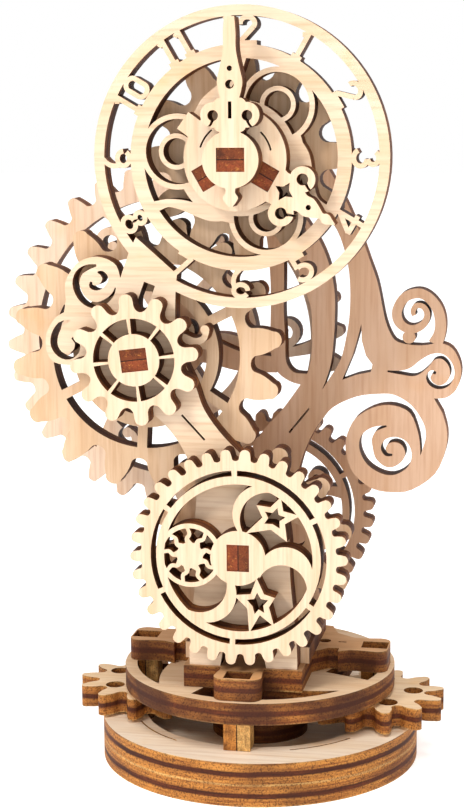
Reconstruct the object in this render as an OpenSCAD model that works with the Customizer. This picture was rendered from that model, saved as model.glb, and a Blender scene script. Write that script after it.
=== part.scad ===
// Wooden mechanical clock model: flat laser-cut plywood pieces on rectangular strip axles.
// +X right, +Y to the back, +Z up. The origin is the centre of the base's underside.

/* [Plywood] */
// Thickness of the plywood sheet
ply = 4; // [3:0.5:4]
// Gap between neighbouring sheets
layer_gap = 0.4; // [0.3:0.1:0.6]

/* [Base] */
// Radius of the two base discs
base_r = 29.7; // [28:0.5:33]
// Radius of the large hole in the upper base disc
base_hole_r = 21.5; // [19:0.5:22]
// Clear height between the base and the carrier ring
carrier_gap = 5.4; // [5:0.1:7]
// Outer radius of the carrier ring
carrier_r = 25.4; // [24:0.2:27]

/* [Tower] */
// Height of the dial axis
dial_z = 112; // [108:1:116]
// Height of the lower axle
low_z = 42.6; // [42:0.2:44]
// Radius of the dial
dial_r = 25.8; // [25:0.2:27]

/* [Gears] */
// Module of the big drive gears
drive_m = 2.8; // [2.8:0.02:2.9]
// Rest angle of the middle axle
middle_turn = 7; // [0:0.5:20]

/* [Hidden] */
$fn = 96;

// Colours of the plywood faces in light and in shade
birch = "#f3dfba";
birch_shade = "#c9a887";
strip_brown = "#7a3d22";

// Heights of the layers of the base
top_ring_z = ply;
base_h = 2 * ply;
carrier_z = base_h + carrier_gap;
spider_z = carrier_z + ply;
deck_z = spider_z + ply;
side_gear_z = base_h + (carrier_gap - ply) * 0.45;

// Front faces of the upright layers
step_y = ply + layer_gap;
dial_y = -4.3 * ply;
knob_y = dial_y - step_y;
hand_y = knob_y - step_y;
drive_y = dial_y + step_y;
collar_a_y = drive_y + step_y;
scroll_y = 1.2 * ply;
collar_b_y = scroll_y - step_y;
large_y = scroll_y + step_y;
spare_y = large_y + step_y;
back_y = spare_y + step_y;

// Strip axles and their bearings
strip_w = 1.2 * ply;
strip_h = ply;
running_gap = 0.08;
bearing_r = sqrt(strip_w * strip_w + strip_h * strip_h) / 2 + running_gap;

// Teeth, axle positions and angles of the drive train
middle_teeth = 16;
small_teeth = 12;
large_teeth = 32;
pinion_teeth = 8;
drive_cd = (middle_teeth + small_teeth) / 2 * drive_m;
middle_z = (dial_z + low_z) / 2;
middle_x = -sqrt(drive_cd * drive_cd - pow((dial_z - low_z) / 2, 2));
A1 = [0, dial_z];
A2 = [middle_x, middle_z];
A3 = [0, low_z];
large_m = 2 * drive_cd / (large_teeth + pinion_teeth);
up_angle = atan2(dial_z - middle_z, -middle_x);
drive_backlash = 0.30;
wheel_backlash = 0.34;
large_turn = 3.2;
rim_teeth = 34;
rim_m = 1.09;

// Gears around the foot
sun_teeth = 11;
side_teeth = 12;
side_m = 1.9;
side_cd = (sun_teeth + side_teeth) / 2 * side_m;

// Angle that puts a gear in mesh with another one that stands at turn_a
function mesh_turn(turn_a, teeth_a, teeth_b, way) =
    let (ua = (turn_a - way) * teeth_a / 360, ub = 0.5 - ua) way + 180 + ub * 360 / teeth_b;
lower_turn = mesh_turn(middle_turn, middle_teeth, small_teeth, -up_angle);
hour_turn = mesh_turn(middle_turn, middle_teeth, small_teeth, up_angle);
pinion_turn = mesh_turn(large_turn, large_teeth, pinion_teeth, up_angle);
side_right_turn = mesh_turn(0, sun_teeth, side_teeth, 0);
side_left_turn = mesh_turn(0, sun_teeth, side_teeth, 180);

// ---- Outlines ----

function polar(r, a) = [r * cos(a), r * sin(a)];
function turned_area(p, i = 0, sum = 0) = i == len(p) ? sum
    : let (q = p[(i + 1) % len(p)]) turned_area(p, i + 1, sum + p[i][0] * q[1] - q[0] * p[i][1]);
function to_left(p) = turned_area(p) > 0 ? p : [for (i = [len(p) - 1 : -1 : 0]) [p[i][0], p[i][1]]];

// Closed outline, drawn anticlockwise whichever way its points run
module outline(p) polygon([for (q = to_left(p)) [q[0], q[1]]]);
function inv(a) = tan(a) * 180 / PI - a;

// Gear outline with involute flanks, round tips and round gaps
function gear_points(teeth, m, turn, back, add = 0.88, ded = 1.15, alpha = 25, cap = 0.45, n = 4) =
    let (rp = teeth * m / 2, rb = rp * cos(alpha), rt = rp + add * m, rr = rp - ded * m,
        rf = rp + cap * m, half = 90 / teeth - back / rp * 90 / PI,
        r0 = max(rb, rr + 0.35 * m),
        psi = function(r) half + inv(alpha) - inv(acos(min(1, rb / r))),
        p0 = psi(r0), pf = psi(rf), gap = 180 / teeth)
    [for (k = [0 : teeth - 1]) let (a = turn + k * 360 / teeth) each concat(
        [for (i = [0 : n - 1]) let (s = 90 - 90 * i / n)
            polar(r0 - (r0 - rr) * sin(s), a - p0 - (gap - p0) * (1 - cos(s)))],
        [for (i = [0 : n - 1]) let (r = r0 + (rf - r0) * i / n) polar(r, a - psi(r))],
        [for (i = [0 : 2 * n]) let (s = 90 * i / n)
            polar(rf + (rt - rf) * sin(s), a - pf * cos(s))],
        [for (i = [n - 1 : -1 : 0]) let (r = r0 + (rf - r0) * i / n) polar(r, a + psi(r))],
        [for (i = [n - 1 : -1 : 1]) let (s = 90 - 90 * i / n)
            polar(r0 - (r0 - rr) * sin(s), a + p0 + (gap - p0) * (1 - cos(s)))])];

// Smooth line through [x, y, width] points
function spline_point(p, i, s) =
    let (a = p[max(0, i - 1)], b = p[i], c = p[i + 1], d = p[min(len(p) - 1, i + 2)])
    0.5 * (2 * b + (c - a) * s + (2 * a - 5 * b + 4 * c - d) * s * s
        + (3 * b - a - 3 * c + d) * s * s * s);
function spline(p, n = 6) =
    [for (i = [0 : len(p) - 2]) for (k = [0 : n - 1]) spline_point(p, i, k / n), p[len(p) - 1]];

// Sides of a ribbon whose centre line and widths are [x, y, width] points
function ribbon_side(p, sign) = [for (i = [0 : len(p) - 1])
    let (a = p[max(0, i - 1)], b = p[min(len(p) - 1, i + 1)], t = [b[0] - a[0], b[1] - a[1]],
        u = t / norm(t))
    [p[i][0] - sign * u[1] * p[i][2] / 2, p[i][1] + sign * u[0] * p[i][2] / 2]];
function ribbon_points(p) =
    let (right = ribbon_side(p, -1), left = ribbon_side(p, 1))
    concat(right, [for (i = [len(left) - 1 : -1 : 0]) left[i]]);
module ribbon(p) outline(ribbon_points(p));
module stroke(p, n = 6) ribbon(spline(p, n));

// Centre line of a spiral from radius r0 at angle a0 to r1 at a1
function spiral(c, r0, a0, r1, a1, w0, w1, n = 24) = [for (i = [0 : n])
    let (s = i / n, r = r0 + (r1 - r0) * s, a = a0 + (a1 - a0) * s)
    [c[0] + r * cos(a), c[1] + r * sin(a), w0 + (w1 - w0) * s]];

// Spiral ribbon with a round bead at its inner end
module curl(c, r0, a0, r1, a1, w0, w1, bead = 0, n = 24) {
    ribbon(spiral(c, r0, a0, r1, a1, w0, w1, n));
    if (bead > 0) translate(c + polar(r1, a1)) circle(bead, $fn = 24);
}

module ring(r_out, r_in) difference() {
    circle(r_out);
    circle(r_in);
}

// Arc band between two angles
function arc_points(r_out, r_in, a0, a1, n = 12) = concat(
    [for (i = [0 : n]) polar(r_out, a0 + (a1 - a0) * i / n)],
    [for (i = [n : -1 : 0]) polar(r_in, a0 + (a1 - a0) * i / n)]);
module arc_band(r_out, r_in, a0, a1, n = 12) outline(arc_points(r_out, r_in, a0, a1, n));

module strip_hole(w = strip_w, h = strip_h) square([w, h], center = true);

// Puts an outline drawn in X and Z into the upright sheet whose front face is at y
module upright(y, thick = ply) translate([0, y + thick, 0]) rotate([90, 0, 0])
    linear_extrude(thick) children();
module at_axis(a, y, thick = ply) translate([a[0], 0, a[1]]) upright(y, thick) children();
module flat(z, thick = ply) translate([0, 0, z]) linear_extrude(thick) children();

// ---- Base ----

module base_bottom_disc() color(birch) cylinder(r = base_r, h = ply);

module base_top_ring() color(birch) difference() {
    flat(top_ring_z) ring(base_r, base_hole_r);
    // Two engraved arcs at the front
    for (a = [-151, -67]) flat(base_h - 0.3) arc_band(23.6, 23.25, a, a + 31);
}

sun_spacer_r = 9;
module sun_spacer() color(birch) flat(top_ring_z) difference() {
    circle(sun_spacer_r);
    strip_hole();
}

module sun_gear() color(birch) flat(side_gear_z) difference() {
    outline(gear_points(sun_teeth, side_m, 0, drive_backlash));
    strip_hole();
    for (k = [0 : 4]) rotate(72 * k + 36) translate([6.2, 0]) circle(1.6);
}

post_top = deck_z + layer_gap + ply + 0.6;
module centre_post() color(strip_brown) translate([-strip_w / 2, -strip_h / 2, ply])
    cube([strip_w, strip_h, post_top - ply]);

post_cap_r = 4.4;
module post_cap() color(birch) flat(deck_z + layer_gap) difference() {
    circle(post_cap_r);
    strip_hole();
}

// ---- Turning carrier ----

peg_r = side_cd;
tab_in = 5;
tab_out = 8.2;
scroll_tab_in = 7;
scroll_tab_out = 10.4;
module tab_slots() {
    for (side = [-1, 1]) {
        translate([side * (tab_in + tab_out) / 2, dial_y + ply / 2])
            square([tab_out - tab_in, ply], center = true);
        translate([side * (scroll_tab_in + scroll_tab_out) / 2, scroll_y + ply / 2])
            square([scroll_tab_out - scroll_tab_in, ply], center = true);
    }
}
module peg_slots() {
    circle(bearing_r);
    for (a = [0 : 90 : 270]) translate(polar(peg_r, a)) strip_hole();
}

module carrier_ring() color(birch) flat(carrier_z) difference() {
    circle(carrier_r);
    peg_slots();
    // Four crescent windows that end in a point on the rim
    for (a = [0 : 90 : 270]) rotate(a - 42) outline(concat(
        [for (i = [0 : 12]) polar(carrier_r - 2.2, -70 * i / 12)],
        [for (i = [0 : 3]) polar(20.9 - 2.2 * i, -70)],
        [for (i = [1 : 11]) let (s = i / 12) polar(14.3 + (carrier_r - 16.5) * s * s, -70 + 70 * s)]));
}

module foot_spider() color(birch) flat(spider_z) difference() {
    union() {
        // Body under the two upright sheets
        outline([[-10.8, dial_y - 0.6], [10.8, dial_y - 0.6], [10.8, -6], [13.5, -3.2], [16.5, -2.9],
            [18, -3.4], [18, 3.6], [14, 6.5], [12.5, 11], [4.6, 12.4], [4.6, 18.2], [-4.6, 18.2],
            [-4.6, 12.4], [-12.5, 11], [-14, 6.5], [-18, 3.6], [-18, -3.4], [-16.5, -2.9],
            [-13.5, -3.2], [-10.8, -6]]);
        // One lug around each peg
        for (a = [0 : 90 : 270]) rotate(a) outline(concat([[15.5, 4.9]], [[15.5, -4.9]],
            [[17.6, -3.9], [19.4, -3.9]],
            [for (i = [0 : 6]) [22.5, -2.3] + polar(2, -90 + 15 * i)],
            [for (i = [0 : 6]) [22.5, 2.3] + polar(2, 15 * i)], [[19.4, 3.9], [17.6, 3.9]]));
    }
    peg_slots();
    tab_slots();
    for (side = [-1, 1]) {
        translate([side * 12.3, 1.2]) circle(1.1);
        translate([side * 15.6, 0.9]) square([1.5, 0.5], center = true);
    }
}

peg_bottom = base_h + 0.05;
peg_top = deck_z - 3;
module peg(a) color(strip_brown) translate([peg_r * cos(a) - strip_w / 2, peg_r * sin(a) - strip_h / 2,
    peg_bottom]) cube([strip_w, strip_h, peg_top - peg_bottom]);
module peg_front() peg(-90);
module peg_back() peg(90);
module side_pin_left() peg(180);
module side_pin_right() peg(0);

module side_gear(x, turn) color(birch) translate([x, 0, 0]) flat(side_gear_z) difference() {
    outline(gear_points(side_teeth, side_m, turn, drive_backlash));
    circle(bearing_r);
    for (k = [0 : 4]) rotate(72 * k + 8) translate([7.2, 0]) circle(1.8, $fn = 32);
}
module side_gear_left() side_gear(-side_cd, side_left_turn);
module side_gear_right() side_gear(side_cd, side_right_turn);

brace_h = 3;
module foot_brace(side) color(birch_shade) translate([side * 9.4 - ply / 2, dial_y + ply, deck_z])
    cube([ply, scroll_y - dial_y - ply, brace_h]);
module foot_brace_left() foot_brace(-1);
module foot_brace_right() foot_brace(1);

// ---- Dial numerals ----

numeral_in = 19.3;
numeral_out = 24;
numeral_h = numeral_out - numeral_in;
pen = 0.85;
function line(a, b) = [[a[0], a[1], pen], [b[0], b[1], pen]];
function loop(c, r, a0, a1) = spiral(c, r, a0, r, a1, pen, pen, 18);

// Strokes of one digit, drawn 5.5 tall
function digit(d) =
    d == 0 ? [loop([0, 3.9], 1.15, 0, 180), loop([0, 1.6], 1.15, 180, 360),
        line([1.15, 4.1], [1.15, 1.4]), line([-1.15, 4.1], [-1.15, 1.4])] :
    d == 1 ? [line([0, -0.4], [0, 5.9]), line([-0.9, 0.25], [0.9, 0.25]), line([-0.9, 4.7], [0, 5.3])] :
    d == 2 ? [loop([0, 3.9], 1.25, 190, -35), line([1.0, 3.2], [-1.2, 0.5]), line([-1.5, 0.1], [1.6, 0.1])] :
    d == 3 ? [loop([0, 4.2], 1.1, 150, -80), loop([0, 1.7], 1.35, 80, -160), line([0, 5.2], [0.6, 6])] :
    d == 4 ? [line([0.7, -0.4], [0.7, 5.9]), line([0.7, 5.2], [-1.6, 1.8]), line([-1.8, 1.7], [1.7, 1.7])] :
    d == 5 ? [line([-0.9, 5.9], [-0.9, 3.1]), line([-0.9, 5.2], [1.3, 5.2]),
        loop([-0.2, 1.9], 1.45, 110, -160)] :
    d == 6 ? [loop([0, 1.45], 1.25, 0, 330), spiral([1.6, 2.6], 2.6, 195, 3.6, 118, pen, pen, 12)] :
    d == 7 ? [line([-1.4, 5.5], [1.4, 5.5]), line([1.2, 5.6], [-0.6, -0.4])] :
    d == 8 ? [loop([0, 1.45], 1.3, 100, 440), loop([0, 4.1], 1.0, -80, 260), line([0, 5], [0, 5.9])] :
    [loop([0, 4.0], 1.25, 180, 510), spiral([-1.6, 2.9], 2.6, 15, 3.6, -62, pen, pen, 12)];

module figure(d) for (s = digit(d)) ribbon([for (q = s) [q[0], q[1] * numeral_h / 5.5, q[2]]]);

// Hours 10 to 3 stand with their feet inward, 4 to 9 with their feet outward
module numeral(hour) {
    a = 90 - 30 * hour;
    inward = hour > 9 || hour < 4;
    rotate(a - 90) translate([0, inward ? numeral_in : numeral_out]) rotate(inward ? 0 : 180)
        if (hour > 9) {
            translate([-1.75, 0]) figure(1);
            translate([1.45, 0]) figure(hour - 10);
        } else figure(hour);
}

// ---- Upright frames ----

dial_hub_r = 9.9;
dial_band_r = 11.2;
dial_inner_r = 16.9;
strut_orbit = 5.9;
strut_w = 4.1;
strut_h = 3.4;
cage_r = norm([strut_orbit + strut_h / 2, strut_w / 2]) + running_gap;
module dial_face() {
    ring(dial_r, numeral_out);
    ring(numeral_in, dial_inner_r);
    circle(dial_hub_r);
    for (hour = [1 : 12]) numeral(hour);
    // Three loops with an open scroll inside each, joined by bands and curved arms
    for (k = [0 : 2]) rotate(54 + 120 * k) {
        intersection() {
            circle(dial_inner_r + 0.3);
            translate([11, 0]) ring(6.5, 5.6);
        }
        translate([11.2, 0]) ring(3.1, 2.3);
        arc_band(dial_band_r, dial_hub_r - 1, 31, 89);
        stroke([for (q = [[17.2, 155, 1.9], [14.9, 157, 1.4], [13.1, 163.4, 1.7], [11.9, 172.5, 2.1],
            [10.9, 187, 2.4], [10.2, 199, 2]]) [q[0] * cos(q[1]), q[0] * sin(q[1]), q[2]]]);
    }
}

module dial_frame() color(birch) upright(dial_y) difference() {
    union() {
        translate(A1) dial_face();
        // Leg, the two spirals at the left, and the neck that carries the dial
        outline(concat(spline([[-9.8, deck_z], [-9.8, 24.4], [-9.4, 30], [-8.6, 38], [-8.6, 47], [-8.4, 55],
            [-11, 61.6], [-14.8, 66.2], [-18.6, 68.6], [-23.6, 71], [-27, 74.4]], 4),
            spline([[-28.9, 76.1], [-31.2, 75.6], [-33.8, 76], [-35.1, 77.5], [-35.4, 79.8], [-34.9, 82],
            [-33.4, 84.1], [-31.9, 85]], 3),
            spline([[-31.5, 87.2], [-31.6, 90], [-30.6, 92.2], [-28.9, 94], [-26.4, 94.9], [-24.1, 94.6],
            [-22.2, 93.4], [-21.5, 91.2]], 3),
            [[-20, 95.4], [-18.6, 98.4]],
            spline([[-11.3, 92], [-11.6, 88.7], [-11.7, 83.2], [-11.3, 79.6], [-9.9, 76], [-8.3, 72.6],
            [-6.6, 68], [-3.2, 63.4], [1.6, 58.6], [6.6, 52], [8.4, 46], [8.6, 38], [9.4, 30],
            [9.8, 24.4], [9.8, deck_z]], 4),
            [[4.2, deck_z], [3.6, 24.6], [0, 28.4], [-3.6, 24.6], [-4.2, deck_z]]));
        // Small hook beside the middle bearing
        translate(A2) stroke([[5.2, 4.4, 1.8], [8, 3.5, 1.5], [9.9, 2.9, 1.3], [11.5, 3.4, 1.1],
            [12.1, 4.8, 1]]);
        translate(A2 + [11.8, 5]) circle(0.8, $fn = 24);
        // Tabs that stand in the spider's slots
        for (side = [-1, 1]) translate([side * (tab_in + tab_out) / 2, (spider_z + deck_z + 1) / 2])
            square([tab_out - tab_in, ply + 1], center = true);
    }
    translate(A1) circle(cage_r);
    translate(A2) circle(bearing_r);
    translate(A3) circle(bearing_r);
    // Gaps of the spirals, the neck's slot, and a laser slit in the leg
    stroke([[-22.4, 89.5, 0.2], [-22.9, 88.3, 0.5], [-24, 87.2, 0.8], [-25.6, 86.4, 1.1], [-27.3, 86.6, 1.2],
        [-28.8, 87.9, 1.3], [-29.6, 90.1, 1.3], [-29, 92, 1.2], [-27.5, 93, 1], [-25.8, 93.4, 0.4]], 3);
    stroke([[-25.6, 92.2, 0.3], [-24.8, 92, 0.9], [-24.2, 91.1, 1.1], [-24.7, 90, 1], [-25.8, 89.4, 0.9],
        [-26.8, 89.7, 0.8], [-26.8, 90.5, 0.4]], 3);
    stroke([[-30.8, 83.6, 0.3], [-32.6, 82.8, 1], [-33.7, 80.9, 1.3], [-33.8, 79, 1.3], [-32.8, 77.5, 1.1],
        [-31.2, 77.1, 1.1], [-29.8, 78.1, 1.1], [-29.6, 79.6, 0.9], [-30.5, 80.5, 0.5]], 3);
    translate([-17.1, 87.9]) rotate(70) square([5, 2.1], center = true);
    translate([-8.7, 64.9]) rotate(-47) square([6, 0.35], center = true);
}

module scroll_frame() color(birch_shade) upright(scroll_y) difference() {
    union() {
        translate(A1) circle(8);
        translate(A2) circle(7.5);
        translate(A3) circle(8.5);
        // Right leg with its arm, the large scroll, and the middle leg
        outline(concat(
            spline([[4, 118], [9.6, 113.4], [14.8, 105], [18, 98], [19.9, 92.9], [21.3, 89], [22.2, 84.8],
                [22.8, 82], [23.8, 79.4], [25.3, 77.8], [29.5, 77.3], [32.8, 77.8], [35.1, 76.9],
                [36.5, 74.5], [36.8, 72], [35.9, 69.2], [34.1, 67.7], [31.9, 67.5]], 3),
            spline([[33.5, 64.8], [34.4, 61.3], [34.1, 57.7], [32.2, 53.3], [28, 50.2], [24.4, 49.6],
                [20.5, 50.2], [17.2, 52.8], [15.8, 56], [15.6, 59.3], [16.8, 62.6], [18.6, 64.4],
                [21.5, 65.8], [24.6, 66], [27.5, 64.7], [28.9, 61.5], [29.4, 59], [29.5, 56.7]], 3),
            spline([[30, 58.3], [30.5, 60.4], [30, 62.9], [27.8, 66.1], [24.6, 68], [21.4, 68.1],
                [17.5, 67.5], [13.2, 65.4], [10.7, 62.4], [9.1, 59.8], [7.5, 56.1], [6.4, 52],
                [5, 46]], 3),
            spline([[-5, 46], [-3.6, 54], [-0.5, 60], [3.5, 64.6], [7.1, 69.6], [8.4, 71.8], [9.2, 76],
                [9.1, 83.2], [8.2, 86.4], [6.2, 92], [3.4, 99], [1, 104]], 4),
            spline([[5.4, 104], [9.4, 98.4], [11.9, 93.5], [13.3, 88], [13.5, 82], [13, 75.1],
                [12.2, 71.5], [11.1, 68.6]], 4),
            spline([[13.2, 71.9], [14.6, 74.4], [15.5, 78], [16.2, 82.6], [16.3, 88], [15.7, 92.8],
                [13.8, 98.4], [9.6, 104]], 4)));
        // Inner band with its link to the middle leg, and the arm to the middle bearing
        stroke([[0.5, 106, 4], [2.2, 98, 3.2], [2.7, 90, 2.6], [2.7, 84, 2.4], [2.8, 78, 2.8],
            [3.2, 73.4, 2.5], [5.4, 71, 1.9], [9, 70.4, 2.4]]);
        stroke([[-17, 77.4, 7], [-10, 75.4, 4.6], [-4, 73.6, 3.6], [2.6, 73.2, 3]]);
        for (side = [-1, 1]) stroke([[side * 1.5, 46, 8], [side * 5.6, 36, 6], [side * 8.2, 28, 5.6],
            [side * 8.8, deck_z + 3, 5.3], [side * 8.8, deck_z + 1.5, 5.2], [side * 8.8, deck_z, 5.2]]);
        // Upper curl with the bead it rests on
        stroke([[32, 77.6, 2.6], [32.8, 79.6, 2.1], [32.9, 82, 2], [32.2, 84.3, 1.9], [30.6, 86.2, 1.8],
            [28.7, 86.9, 1.8], [26.4, 86.1, 1.8], [25, 83.8, 1.8], [25.2, 81.8, 1.8], [26.5, 80.5, 1.6],
            [28.2, 80.3, 1.5], [29.9, 81.3, 1.3], [30.5, 83, 1.1], [29.8, 84.4, 1], [28.5, 84.6, 1],
            [27.9, 83.6, 0.9], [28.1, 82.8, 0.7]], 4);
        translate([27.2, 78.8]) circle(1.2, $fn = 32);
        for (side = [-1, 1])
            translate([side * (scroll_tab_in + scroll_tab_out) / 2, (spider_z + deck_z + 1) / 2])
                square([scroll_tab_out - scroll_tab_in, ply + 1], center = true);
    }
    for (a = [A1, A2, A3]) translate(a) circle(bearing_r);
    // Gap inside the large scroll, gap of the right curl, pointed window, and a laser slit
    stroke([[23.2, 62.1, 0.3], [20.9, 61.4, 1], [19.5, 59.8, 2.1], [19.4, 57.8, 2.5], [20.4, 55.4, 2],
        [22.6, 53.8, 1.5], [24.7, 53.7, 1.5], [26.7, 55.1, 1.5], [27.3, 57.1, 1.2], [26.5, 58.9, 1.1],
        [24.9, 59.6, 1], [23.3, 59.2, 1], [22.6, 57.9, 0.9], [23.2, 56.8, 0.7], [24.3, 56.7, 0.4]], 4);
    stroke([[23.3, 72.4, 0.3], [26, 72.2, 0.8], [28.2, 72.5, 1.8], [30, 73.9, 1.9], [31.6, 75.2, 1.2],
        [33.4, 75.3, 0.9], [34.8, 73.9, 0.8], [35.2, 72, 0.8], [34.4, 70.3, 0.8], [32.9, 69.6, 0.7],
        [31.5, 70.1, 0.8], [30.8, 71.3, 0.8], [31.4, 72.4, 0.7], [32.2, 72.2, 0.5]], 4);
    outline([[18.4, 81.1], [18.5, 78], [19.3, 75.2], [20.5, 73.6], [20.2, 72.2], [17.5, 71.6], [14.9, 70.6],
        [16.8, 75.2], [17.8, 78.7]]);
    translate([6.8, 62.7]) rotate(51) square([6, 0.35], center = true);
}

// ---- Wheels ----

// Ring of slots with bridges at the given angles
module slot_ring(r_out, r_in, bridges, half) for (i = [0 : len(bridges) - 1])
    let (a0 = bridges[i] + half, a1 = bridges[(i + 1) % len(bridges)] - half
        + (i == len(bridges) - 1 ? 360 : 0)) arc_band(r_out, r_in, a0, a1, 10);

module rim_outline(turn) outline(gear_points(rim_teeth, rim_m, turn, -0.15, 0.85, 1.05, 16, 0.05, 3));

rim_in = 13.25;
slot_out = 15.7;
slot_in = 14.7;
hub_r = 4.93;
bridges = [-155, -94, -33, 28, 92, 146];

// Crescent between two circles, given as [x, z, r]
module moon(outer, cut) difference() {
    translate([outer[0], outer[1]]) circle(outer[2]);
    translate([cut[0], cut[1]]) circle(cut[2]);
}

// Star with a star-shaped hole; its tips are [radius, angle] in anticlockwise order
module star(tips, dent, hole) difference() {
    outline([for (i = [0 : len(tips) - 1]) let (a = tips[i][1], b = tips[(i + 1) % len(tips)][1],
        between = (a + b + (b < a ? 360 : 0)) / 2) each [polar(tips[i][0], a), polar(dent, between)]]);
    outline([for (i = [0 : len(tips) - 1]) let (a = tips[i][1], b = tips[(i + 1) % len(tips)][1],
        between = (a + b + (b < a ? 360 : 0)) / 2) each [polar(hole, a), polar(hole * 0.52, between)]]);
}

module sun_disc() {
    ring(5.75, 4.9);
    circle(2.35);
    for (k = [0 : 8]) rotate(40 * k + 12) stroke([[2, 0, 1.2], [3, 0.4, 0.8], [3.9, -0.1, 0.7],
        [5.2, 0.4, 0.6]], 4);
}

module moon_star_gear() color(birch) at_axis(A3, knob_y) difference() {
    union() {
        difference() {
            rim_outline(1);
            slot_ring(slot_out, slot_in, bridges, 1.8);
            circle(rim_in);
        }
        circle(hub_r);
        intersection() {
            circle(rim_in + 0.2);
            union() {
                moon([4.5, 7.9, 5.4], [5.4, 6.95, 5]);
                moon([8.5, -2.4, 4.75], [7.85, -5.3, 4.4]);
                moon([-5.7, -6.5, 5.4], [-7.1, -5, 5.1]);
                translate([-8.6, 0.2]) sun_disc();
                translate([6.5, 7.4]) star([[4.6, 8], [4, 73], [3.9, 144], [5.8, 209], [4.7, 299]], 2.1, 2);
                translate([3.5, -8.05]) star([[3.3, 21], [4.6, 92], [4.5, 162], [5.6, 254], [5, 306]],
                    2.1, 2);
            }
        }
    }
    strip_hole(strip_h, strip_w);
}

module back_gear() color(birch_shade) at_axis(A3, back_y) difference() {
    union() {
        difference() {
            rim_outline(4);
            slot_ring(slot_out, slot_in, bridges, 1.8);
            circle(rim_in);
        }
        circle(hub_r + 1);
        for (k = [0 : 4]) rotate(72 * k + 20) {
            stroke([[4.5, 0, 2.4], [8, 0.6, 1.7], [11, 0.2, 1.7], [13.6, -1, 2.4]]);
            curl([9.6, 3.2], 2.2, -110, 0.8, 190, 1.2, 0.9, 0.8, 18);
        }
    }
    strip_hole(strip_h, strip_w);
}

module lower_gear() color(birch) at_axis(A3, drive_y) difference() {
    outline(gear_points(small_teeth, drive_m, lower_turn, drive_backlash));
    strip_hole(strip_h, strip_w);
    for (k = [0 : 5]) rotate(60 * k + 15) translate([8.6, 0]) circle(2.4, $fn = 40);
}

module hour_gear() color(birch_shade) at_axis(A1, drive_y) difference() {
    outline(gear_points(small_teeth, drive_m, hour_turn, drive_backlash));
    circle(bearing_r);
    strut_holes();
}

knob_hub_r = 4.6;
knob_rim_r = 7.3;
module knob_pinion() color(birch) at_axis(A2, knob_y) difference() {
    rotate(middle_turn) difference() {
        outline(gear_points(small_teeth, 1.72, 0, 0.2, 0.75, 1.05, 14, 0.05, 4));
        slot_ring(knob_rim_r, knob_hub_r, [for (k = [0 : 7]) 45 * k], 2.6);
    }
    rotate(middle_turn) strip_hole();
}

module middle_gear() color(birch) at_axis(A2, drive_y) rotate(middle_turn) difference() {
    union() {
        difference() {
            outline(gear_points(middle_teeth, drive_m, 0, drive_backlash));
            circle(17.2);
        }
        ring(13.4, 11.2);
        circle(5.6);
        for (k = [0 : 3]) rotate(90 * k) {
            stroke([[5, 0, 2.6], [8, 1.2, 1.9], [11.8, 0.4, 2]]);
            curl([7.6, 3.6], 2, -140, 0.7, 150, 1.1, 0.9, 0.8, 18);
        }
        for (k = [0 : 5]) rotate(60 * k + 20) translate([15.2, 0]) square([4.6, 1.8], center = true);
    }
    strip_hole();
}

module large_gear() color(birch_shade) at_axis(A2, large_y) difference() {
    union() {
        difference() {
            outline(gear_points(large_teeth, large_m, large_turn, wheel_backlash, 0.75, 0.95));
            circle(26.6);
        }
        ring(16.4, 14);
        circle(6);
        for (k = [0 : 5]) rotate(60 * k - 5) {
            stroke([[5.4, 0, 2.6], [10, 0.9, 2], [14.6, 0, 2.2]]);
            stroke([[15.6, 0, 2.4], [20, -0.8, 1.9], [24, 0, 1.9], [27.2, 1.2, 2.6]]);
            curl([21.4, 3.6], 2.9, -115, 1, 210, 1.6, 1.2, 1, 20);
        }
    }
    rotate(middle_turn) strip_hole();
}

module minute_pinion() color(birch_shade) at_axis(A1, large_y) difference() {
    outline(gear_points(pinion_teeth, large_m, pinion_turn, wheel_backlash, 0.75, 0.95));
    strip_hole();
}

// ---- Hands ----

module strut_holes() for (a = [90, 210, 330]) rotate(a) translate([strut_orbit, 0])
    square([strut_h, strut_w], center = true);
module hour_strut(a) color(strip_brown) at_axis(A1, knob_y + recess, drive_y + ply - knob_y - recess)
    rotate(a) translate([strut_orbit, 0]) square([strut_h, strut_w], center = true);
module hour_strut_top() hour_strut(90);
module hour_strut_left() hour_strut(210);
module hour_strut_right() hour_strut(330);

hour_disc_r = 8.8;
// One side of the hour hand, outward from the disc to the tip
hour_side = spline([[7, 3.6], [8.8, 3], [10.4, 3.1], [12.4, 2.2], [13.6, 1.6], [14.9, 1.7], [16.4, 1.1],
    [17.5, 0.55], [18.1, 0.85], [18.7, 0.85], [19.3, 0.55], [20.2, 0.15]], 3);
module hour_hand() color(birch) at_axis(A1, knob_y) difference() {
    union() {
        circle(hour_disc_r);
        rotate(-33) {
            outline(concat(hour_side,
                [for (i = [len(hour_side) - 1 : -1 : 0]) [hour_side[i][0], -hour_side[i][1]]]));
            for (side = [-1, 1]) translate([11.5, 3.4 * side]) circle(2.2);
        }
        rotate(144) translate([9.6, 0]) square([3, 3.4], center = true);
    }
    circle(bearing_r);
    strut_holes();
    rotate(-33) {
        // Pointed window, pin hole, and the open eyes of the two scrolls
        translate([10, 0]) outline([for (i = [0 : 7]) polar(i % 2 == 0 ? 1.75 : 0.85, 45 * i)]);
        translate([14.9, 0]) circle(0.45, $fn = 16);
        for (side = [-1, 1]) {
            translate([11.5, 3.4 * side]) circle(1, $fn = 24);
            stroke([[12.1, 3.3 * side, 0.6], [12.9, 2.8 * side, 0.45], [13.7, 2.5 * side, 0.4]], 3);
        }
    }
    for (a = [13, 129]) rotate(a) arc_band(6.45, 6.15, 0, 33, 8);
}

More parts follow.
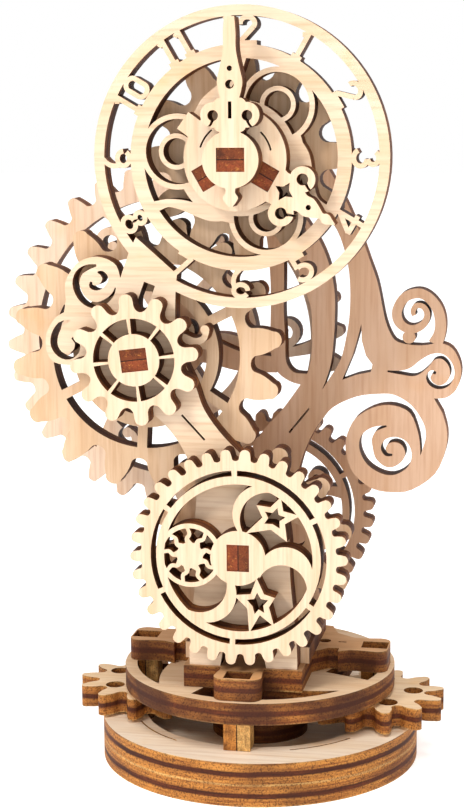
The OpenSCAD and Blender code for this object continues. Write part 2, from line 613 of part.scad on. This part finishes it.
hand_tip = 23.4;
module minute_hand() color(birch) at_axis(A1, hand_y) difference() {
    union() {
        circle(4.8);
        stroke([[0, 3.6, 4.6], [0, 5.4, 2.9], [0, 7.4, 2.6], [0, 9, 2.6], [0, 11.4, 3.9], [0, 13, 4.3],
            [0, 15, 3.4], [0, 18, 2.2], [0, 21, 2.1], [0, hand_tip, 1.7]], 5);
        for (side = [-1, 1]) {
            translate([2.9 * side, 7.4]) circle(2.1);
            translate([1.6 * side, 9]) circle(1.2, $fn = 32);
            translate([1.7 * side, 5.6]) circle(1, $fn = 32);
        }
        stroke([[0, -4.2, 2], [0, -5.4, 1.6], [0, -6.4, 2.6], [0, -7.8, 0.7]], 4);
    }
    strip_hole();
    for (side = [-1, 1]) {
        translate([2.9 * side, 7.3]) circle(0.9, $fn = 24);
        stroke([[2.9 * side, 6.7, 0.6], [3.2 * side, 5.9, 0.4], [3.8 * side, 5.2, 0.4]], 3);
    }
    translate([0, 12.4]) circle(0.75, $fn = 24);
    translate([0, 15]) circle(0.45, $fn = 16);
    translate([0, 8.2]) square([0.6, 2.8], center = true);
}

// ---- Axles and collars ----

end_proud = 1;
recess = 0.2;
module axle(a, y0, y1, w, h, turn) color(strip_brown) at_axis(a, y0, y1 - y0) rotate(turn)
    square([w, h], center = true);
module middle_axle() axle(A2, knob_y + recess, large_y + ply + end_proud, strip_w, strip_h, middle_turn);
module lower_axle() axle(A3, knob_y + recess, back_y + ply + end_proud, strip_h, strip_w, 0);
module minute_axle() axle(A1, hand_y + recess, large_y + ply + end_proud, strip_w, strip_h, 0);

collar_r = 5.2;
module collar(a, y, w, h, turn) color(birch_shade) at_axis(a, y) difference() {
    circle(collar_r);
    rotate(turn) square([w, h], center = true);
}
module middle_collar_front() collar(A2, collar_a_y, strip_w, strip_h, middle_turn);
module middle_collar_rear() collar(A2, collar_b_y, strip_w, strip_h, middle_turn);
module lower_collar_front() collar(A3, collar_a_y, strip_h, strip_w, 0);
module lower_collar_mid() collar(A3, collar_b_y, strip_h, strip_w, 0);
module lower_collar_inner() collar(A3, large_y, strip_h, strip_w, 0);
module lower_collar_outer() collar(A3, spare_y, strip_h, strip_w, 0);
module minute_collar_front() collar(A1, collar_a_y, strip_w, strip_h, 0);
module minute_collar_rear() collar(A1, collar_b_y, strip_w, strip_h, 0);

base_bottom_disc();
base_top_ring();
sun_spacer();
sun_gear();
centre_post();
post_cap();
carrier_ring();
foot_spider();
peg_front();
peg_back();
side_pin_left();
side_pin_right();
dial_frame();
scroll_frame();
foot_brace_left();
foot_brace_right();
side_gear_left();
side_gear_right();
middle_axle();
knob_pinion();
middle_gear();
large_gear();
middle_collar_front();
middle_collar_rear();
lower_axle();
moon_star_gear();
lower_gear();
back_gear();
lower_collar_front();
lower_collar_mid();
lower_collar_inner();
lower_collar_outer();
hour_hand();
hour_gear();
hour_strut_top();
hour_strut_left();
hour_strut_right();
minute_axle();
minute_hand();
minute_pinion();
minute_collar_front();
minute_collar_rear();
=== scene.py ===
"""Looks for the wooden mechanical clock: plywood with burnt edges, floor, light and camera."""
import math
from collections import namedtuple

import bpy
from mathutils import Matrix, Vector


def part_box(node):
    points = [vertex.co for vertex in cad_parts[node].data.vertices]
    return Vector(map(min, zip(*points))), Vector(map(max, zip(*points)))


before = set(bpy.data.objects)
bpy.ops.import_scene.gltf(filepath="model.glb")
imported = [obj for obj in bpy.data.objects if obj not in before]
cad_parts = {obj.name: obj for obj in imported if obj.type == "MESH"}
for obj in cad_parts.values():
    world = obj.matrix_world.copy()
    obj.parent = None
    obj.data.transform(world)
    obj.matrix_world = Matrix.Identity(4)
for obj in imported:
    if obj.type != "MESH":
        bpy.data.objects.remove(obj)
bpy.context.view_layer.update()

MM = 0.001

# ---- Camera ----

CAMERA_AT = Vector((57.2, -319.3, 120.7)) * MM
YAW, PITCH, ROLL = math.radians(11.03), math.radians(9.5), math.radians(-0.42)
LENS = 79.15
SENSOR = 36.0


def add_camera():
    """A camera that looks along the yaw and pitch, with a slight roll."""
    level = math.cos(PITCH)
    forward = Vector((-math.sin(YAW) * level, math.cos(YAW) * level, -math.sin(PITCH)))
    right = Vector((math.cos(YAW), math.sin(YAW), 0))
    up = right.cross(forward)
    turned_right = math.cos(ROLL) * right + math.sin(ROLL) * up
    turned_up = -math.sin(ROLL) * right + math.cos(ROLL) * up
    data = bpy.data.cameras.new("camera")
    data.lens = LENS
    data.sensor_width = SENSOR
    data.sensor_fit = "AUTO"
    data.clip_start = 0.01
    data.clip_end = 20
    cam = bpy.data.objects.new("camera", data)
    bpy.context.collection.objects.link(cam)
    rows = Matrix((turned_right, turned_up, -forward)).transposed().to_4x4()
    cam.matrix_world = Matrix.Translation(CAMERA_AT) @ rows
    bpy.context.scene.camera = cam


add_camera()

# ---- Shader helpers ----


class Nodes:
    """Builds one material's node tree with short calls."""

    def __init__(self, name):
        self.material = bpy.data.materials.new(name)
        self.material.use_nodes = True
        self.tree = self.material.node_tree
        self.tree.nodes.clear()

    def add(self, kind, inputs=None, **settings):
        """A node of that kind; inputs are values or sockets, by name or number."""
        node = self.tree.nodes.new(kind)
        for key, value in settings.items():
            setattr(node, key, value)
        for key, value in (inputs or {}).items():
            socket = node.inputs[key]
            if isinstance(value, bpy.types.NodeSocket):
                self.tree.links.new(value, socket)
            else:
                socket.default_value = value
        return node

    def math(self, operation, a, b=0.5, c=0.5, clamp=False):
        node = self.add("ShaderNodeMath", {0: a, 1: b, 2: c}, operation=operation, use_clamp=clamp)
        return node.outputs[0]

    def mix(self, factor, a, b, blend="MIX"):
        node = self.add("ShaderNodeMix", data_type="RGBA", blend_type=blend)
        for key, value in ((0, factor), (6, a), (7, b)):
            if isinstance(value, bpy.types.NodeSocket):
                self.tree.links.new(value, node.inputs[key])
            else:
                node.inputs[key].default_value = value
        return node.outputs[2]

    def ramp(self, factor, stops, ease="LINEAR"):
        node = self.add("ShaderNodeValToRGB", {0: factor})
        node.color_ramp.interpolation = ease
        elements = node.color_ramp.elements
        while len(elements) < len(stops):
            elements.new(0.5)
        for element, (place, colour) in zip(elements, stops):
            element.position = place
            element.color = colour
        return node.outputs[0]

    def noise(self, vector, scale, detail=2.0, roughness=0.5, distortion=0.0):
        inputs = {"Vector": vector, "Scale": scale, "Detail": detail,
                  "Roughness": roughness, "Distortion": distortion}
        return self.add("ShaderNodeTexNoise", inputs).outputs[0]

    def stretch(self, vector, scale, offset=(0, 0, 0)):
        inputs = {"Vector": vector, "Scale": scale, "Location": offset}
        return self.add("ShaderNodeMapping", inputs).outputs[0]


def grey(value):
    return (value, value, value, 1)


def rgb(red, green, blue):
    """A colour given as it looks on screen, 0 to 255, as linear light."""
    def linear(c):
        c /= 255
        return c / 12.92 if c <= 0.04045 else ((c + 0.055) / 1.055) ** 2.4
    return (linear(red), linear(green), linear(blue), 1)


FACE_LIGHT = rgb(238, 221, 200)
FACE_MID = rgb(229, 206, 178)
FACE_GRAIN = rgb(188, 144, 106)
BURN_DARK = rgb(58, 27, 15)
BURN_MID = rgb(116, 56, 26)
BURN_GOLD = rgb(212, 142, 66)
BURN_LIGHT = rgb(236, 186, 112)
RED_BROWN = rgb(140, 66, 34)
GLUE_DARK = rgb(34, 14, 8)

GLUE_LINE = 0.18 * MM
RELIEF_DEPTH = 0.2 * MM
WOOD_SPECULAR = 0.2
# A face's normal lies this close to the sheet's own direction, and a chamfer's lies at least this close
FACE_FROM, RIM_FROM = 0.95, 0.4

# Tint of a piece's faces, how charred its edges are, how strong their bands are, its rim colour. For
# the upright layers the tint and rim also carry painted shade.
Look = namedtuple("Look", "tint char bands rim")
FRONT = Look(rgb(248, 238, 228), 0.8, 0.35, rgb(120, 74, 44))
# MIDDLE and REAR are darker copies of FRONT: partly the birch's own tan, partly painted shade for
# pieces further back
MIDDLE = Look(rgb(236, 218, 200), 0.8, 0.35, rgb(104, 62, 38))
WHEEL = Look(rgb(250, 240, 236), 0.7, 0.4, rgb(120, 80, 56))
REAR = Look(rgb(220, 196, 182), 0.75, 0.4, rgb(92, 52, 32))
DISC = Look((1, 1, 1, 1), 0.36, 0.95, rgb(220, 158, 88))
CARRIER = Look(rgb(248, 232, 212), 0.8, 0.55, rgb(206, 134, 68))
SPIDER = Look(rgb(226, 190, 152), 0.75, 0.55, rgb(214, 136, 58))
COG = Look(rgb(252, 238, 216), 0.5, 0.75, rgb(196, 124, 60))


def burnt_edge(n, place, across, depth, seed, look):
    """Laser-cut edge: bands through the sheet, streaks along it, charred patches and fine dots."""
    long_way = [70.0, 70.0, 70.0]
    long_way[across] = 1900.0
    streaks = n.noise(n.stretch(place, long_way, (seed, 0, seed)), 1.0, 4.0, 0.7)
    patches = n.noise(place, 95.0, 3.0, 0.6)
    dots = n.noise(place, 3300.0, 2.0, 0.7)
    band = n.ramp(depth, [(0.0, BURN_LIGHT), (0.08, BURN_GOLD), (0.34, BURN_GOLD), (0.41, BURN_DARK),
                          (0.58, BURN_DARK), (0.65, BURN_GOLD), (0.92, BURN_GOLD), (1.0, BURN_LIGHT)])
    edge = n.mix(look.bands, BURN_MID, band)
    edge = n.mix(n.ramp(streaks, [(0.42, grey(0)), (0.66, grey(0.85))]), edge, BURN_MID)
    reach = 0.62 - 0.34 * look.char
    charred = n.ramp(patches, [(reach, grey(0.1)), (reach + 0.25, grey(0.35 + 0.6 * look.char))])
    edge = n.mix(charred, edge, BURN_DARK)
    dotted = n.ramp(dots, [(0.5, grey(0)), (0.6, grey(0.72))])
    return n.mix(dotted, edge, BURN_DARK), streaks


def finish(n, colour, rough, height, strength):
    """Ends a material with a dull shader whose relief follows height."""
    bump = {"Height": height, "Strength": strength, "Distance": RELIEF_DEPTH}
    relief = n.add("ShaderNodeBump", bump).outputs[0]
    wood = {"Base Color": colour, "Roughness": rough, "Normal": relief}
    shader = n.add("ShaderNodeBsdfPrincipled", wood)
    shader.inputs["Specular IOR Level"].default_value = WOOD_SPECULAR
    n.add("ShaderNodeOutputMaterial", {0: shader.outputs[0]})
    return n.material


def plywood(name, axis, start, thickness, grain, seed, look):
    """Plywood sheet: pale birch faces square to axis, a thin toasted rim, burnt cut edges."""
    n = Nodes(name)
    place = n.add("ShaderNodeTexCoord").outputs["Object"]
    normal = n.add("ShaderNodeTexCoord").outputs["Normal"]
    axes = n.add("ShaderNodeSeparateXYZ", {0: place}).outputs
    facing = n.math("ABSOLUTE", n.add("ShaderNodeSeparateXYZ", {0: normal}).outputs[axis])
    is_face = n.math("GREATER_THAN", facing, FACE_FROM)
    is_rim = n.math("GREATER_THAN", facing, RIM_FROM)

    # Faces: broad tone changes, fine grain lines along the sheet, and toasted flecks
    fine = [1500.0, 1500.0, 1500.0]
    fine[grain] = 70.0
    broad = [260.0, 260.0, 260.0]
    broad[grain] = 30.0
    lines = n.noise(n.stretch(place, fine, (seed, seed * 0.7, seed * 1.3)), 1.0, 5.0, 0.6)
    waves = n.noise(n.stretch(place, broad, (seed * 2.1, seed, 0)), 1.0, 3.0, 0.5, 0.6)
    toast = n.noise(place, 75.0, 3.0, 0.6)
    face = n.mix(n.ramp(waves, [(0.35, grey(0)), (0.68, grey(1))]), FACE_LIGHT, FACE_MID)
    face = n.mix(n.ramp(lines, [(0.46, grey(0)), (0.74, grey(0.42))]), face, FACE_GRAIN)
    face = n.mix(n.ramp(toast, [(0.6, grey(0)), (0.8, grey(0.45))]), face, BURN_LIGHT)
    # The tint multiplies in. For upright sheets further back it holds painted shade as well as the
    # wood's own tone
    face = n.mix(1.0, face, look.tint, "MULTIPLY")

    depth = n.math("DIVIDE", n.math("SUBTRACT", axes[axis], start), thickness)
    wander = n.math("MULTIPLY_ADD", n.noise(place, 160.0, 2.0), 0.12, -0.06)
    depth = n.math("ADD", depth, wander, clamp=True)
    edge, streaks = burnt_edge(n, place, axis, depth, seed, look)

    colour = n.mix(is_face, n.mix(is_rim, edge, look.rim), face)
    rough = n.math("MULTIPLY_ADD", lines, 0.2, 0.55)
    return finish(n, colour, rough, n.mix(is_face, streaks, lines), 0.25)


def strip_stick(name, axis, middle, split, seed, golden):
    """Strip of two glued layers, burnt all round; split points square to the joint between them."""
    n = Nodes(name)
    place = n.add("ShaderNodeTexCoord").outputs["Object"]
    away = n.add("ShaderNodeVectorMath", {0: place, 1: middle}, operation="SUBTRACT").outputs[0]
    across = n.add("ShaderNodeVectorMath", {0: away, 1: split}, operation="DOT_PRODUCT")
    side = across.outputs["Value"]
    joint = n.math("LESS_THAN", n.math("ABSOLUTE", side), GLUE_LINE / 2)
    one_layer = n.math("GREATER_THAN", side, 0.0)
    fine = [1700.0, 1700.0, 1700.0]
    fine[axis] = 160.0
    lines = n.noise(n.stretch(place, fine, (seed, seed, 0)), 1.0, 5.0, 0.65)
    patches = n.noise(place, 420.0, 3.0, 0.7)
    dots = n.noise(place, 3600.0, 2.0, 0.7)
    base, other = (BURN_GOLD, BURN_LIGHT) if golden else (RED_BROWN, BURN_MID)
    colour = n.mix(one_layer, base, other)
    colour = n.mix(n.ramp(lines, [(0.4, grey(0)), (0.7, grey(0.6))]), colour, BURN_MID)
    colour = n.mix(n.ramp(patches, [(0.45, grey(0)), (0.7, grey(0.75))]), colour, BURN_DARK)
    colour = n.mix(n.ramp(dots, [(0.5, grey(0)), (0.62, grey(0.45))]), colour, BURN_DARK)
    flecks = n.noise(place, 1500.0, 3.0, 0.7)
    colour = n.mix(n.ramp(flecks, [(0.58, grey(0)), (0.72, grey(0.55))]), colour, BURN_GOLD)
    colour = n.mix(joint, colour, GLUE_DARK)
    return finish(n, colour, n.math("MULTIPLY_ADD", dots, 0.2, 0.5), lines, 0.3)


BASE_LOOKS = {"base_bottom_disc": DISC, "base_top_ring": DISC, "carrier_ring": CARRIER,
              "foot_spider": SPIDER, "sun_spacer": CARRIER, "sun_gear": COG, "post_cap": CARRIER,
              "side_gear_left": COG, "side_gear_right": COG}
# An upright sheet takes the look of the first layer whose limit lies behind its front face. The deeper
# layers' darker tints and rims are painted shade, partly the birch's own tan.
UPRIGHT_SHADE_LAYERS = ((-14 * MM, FRONT), (-1 * MM, MIDDLE), (1, REAR))

SEED_STEP = 3.7
OWN_CHAMFER = {"foot_spider": 0.42 * MM}
BASE_CHAMFER, UPRIGHT_CHAMFER = 0.25 * MM, 0.1 * MM
SHARP_EDGE = math.radians(50)

# Strips: the axis they run along, the direction square to their glue joint, if their burn is golden
MIDDLE_TURN = math.radians(7)
STRIPS = {"centre_post": (2, (0, 1, 0), False), "peg_front": (2, (1, 0, 0), True),
          "peg_back": (2, (1, 0, 0), True), "side_pin_left": (2, (1, 0, 0), True),
          "side_pin_right": (2, (1, 0, 0), True),
          "middle_axle": (1, (-math.sin(MIDDLE_TURN), 0, math.cos(MIDDLE_TURN)), False),
          "lower_axle": (1, (1, 0, 0), False), "minute_axle": (1, (0, 0, 1), False),
          "hour_strut_top": (1, (1, 0, 0), False),
          "hour_strut_left": (1, (-0.5, 0, 0.866), False),
          "hour_strut_right": (1, (0.5, 0, 0.866), False)}


def material_for(name, number):
    """The wood of one node, with a seed of its own so that no two show the same grain."""
    low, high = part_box(name)
    seed = SEED_STEP * number
    if name in STRIPS:
        axis, split, golden = STRIPS[name]
        middle = [(a + b) / 2 for a, b in zip(low, high)]
        return strip_stick(name + "_strip", axis, middle, split, seed, golden)
    if name in BASE_LOOKS:
        return plywood(name + "_ply", 2, low[2], high[2] - low[2], 0, seed, BASE_LOOKS[name])
    if name == "large_gear":
        look = WHEEL
    else:
        look = next(kind for limit, kind in UPRIGHT_SHADE_LAYERS if low[1] < limit)
    grain = 0 if name == "dial_frame" else 2
    return plywood(name + "_ply", 1, low[1], high[1] - low[1], grain, seed, look)


def dress_nodes():
    """Gives every CAD node its wood and a fine burnt chamfer."""
    for number, (name, node) in enumerate(sorted(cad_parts.items())):
        material = material_for(name, number)
        for slot in node.material_slots:
            slot.material = material
        if not node.material_slots:
            node.data.materials.append(material)
        bevel = node.modifiers.new("chamfer", "BEVEL")
        usual = BASE_CHAMFER if name in BASE_LOOKS else UPRIGHT_CHAMFER
        bevel.width = OWN_CHAMFER.get(name, usual)
        bevel.segments = 1
        bevel.limit_method = "ANGLE"
        bevel.angle_limit = SHARP_EDGE


dress_nodes()

# ---- Floor and light ----


FLOOR_REACH, FLOOR_GLOW = 3.0, 0.46
WALL_AT, WALL_REACH, WALL_FOOT, WALL_TOP = 2.9, 5, -0.1, 5
WORLD_STRENGTH = 0.56


def add_sheet(name, corners):
    """A flat sheet with four corners."""
    mesh = bpy.data.meshes.new(name)
    mesh.from_pydata(corners, [], [(0, 1, 2, 3)])
    sheet = bpy.data.objects.new(name, mesh)
    bpy.context.collection.objects.link(sheet)
    return sheet


def add_floor():
    side = FLOOR_REACH
    floor = add_sheet("floor", [(-side, -side, 0), (side, -side, 0), (side, side, 0), (-side, side, 0)])
    n = Nodes("floor_pale")
    place = n.add("ShaderNodeTexCoord").outputs["Object"]
    tone = n.ramp(n.noise(place, 3.0, 2.0), [(0.3, grey(0.93)), (0.7, grey(0.95))])
    shader = n.add("ShaderNodeBsdfPrincipled", {"Base Color": tone, "Roughness": 0.9})
    shader.inputs["Emission Color"].default_value = (1, 1, 1, 1)
    shader.inputs["Emission Strength"].default_value = FLOOR_GLOW
    n.add("ShaderNodeOutputMaterial", {0: shader.outputs[0]})
    floor.data.materials.append(n.material)


def add_backdrop():
    """A white wall far behind, so that the background stays white."""
    wall = add_sheet("backdrop", [(-WALL_REACH, WALL_AT, WALL_FOOT), (WALL_REACH, WALL_AT, WALL_FOOT),
                                  (WALL_REACH, WALL_AT, WALL_TOP), (-WALL_REACH, WALL_AT, WALL_TOP)])
    n = Nodes("backdrop_white")
    glow = n.add("ShaderNodeEmission", {"Color": (1, 1, 1, 1), "Strength": 1.0})
    n.add("ShaderNodeOutputMaterial", {0: glow.outputs[0]})
    wall.data.materials.append(n.material)


def add_light(name, at, target, size, watts, colour):
    """A round lamp at a place, turned to its target."""
    data = bpy.data.lights.new(name, "AREA")
    data.shape = "DISK"
    data.size = size
    data.energy = watts
    data.color = colour
    light = bpy.data.objects.new(name, data)
    bpy.context.collection.objects.link(light)
    way = Vector(target) - Vector(at)
    light.rotation_euler = way.to_track_quat("-Z", "Y").to_euler()
    light.location = at


def add_world():
    world = bpy.data.worlds.new("studio")
    bpy.context.scene.world = world
    world.use_nodes = True
    back = world.node_tree.nodes["Background"]
    back.inputs[0].default_value = (1, 1, 1, 1)
    back.inputs[1].default_value = WORLD_STRENGTH


add_floor()
add_backdrop()
add_world()
add_light("key", (-0.55, -0.85, 0.75), (0, 0, 0.07), 0.26, 6.3, (1, 0.98, 0.955))
add_light("fill", (0.1, -1.1, 0.12), (0, 0, 0.03), 0.5, 2.0, (1, 0.98, 0.96))
add_light("top", (0.15, -0.5, 1.1), (0, -0.02, 0.02), 0.5, 5.5, (1, 0.98, 0.95))
bpy.context.scene.view_settings.view_transform = "Standard"
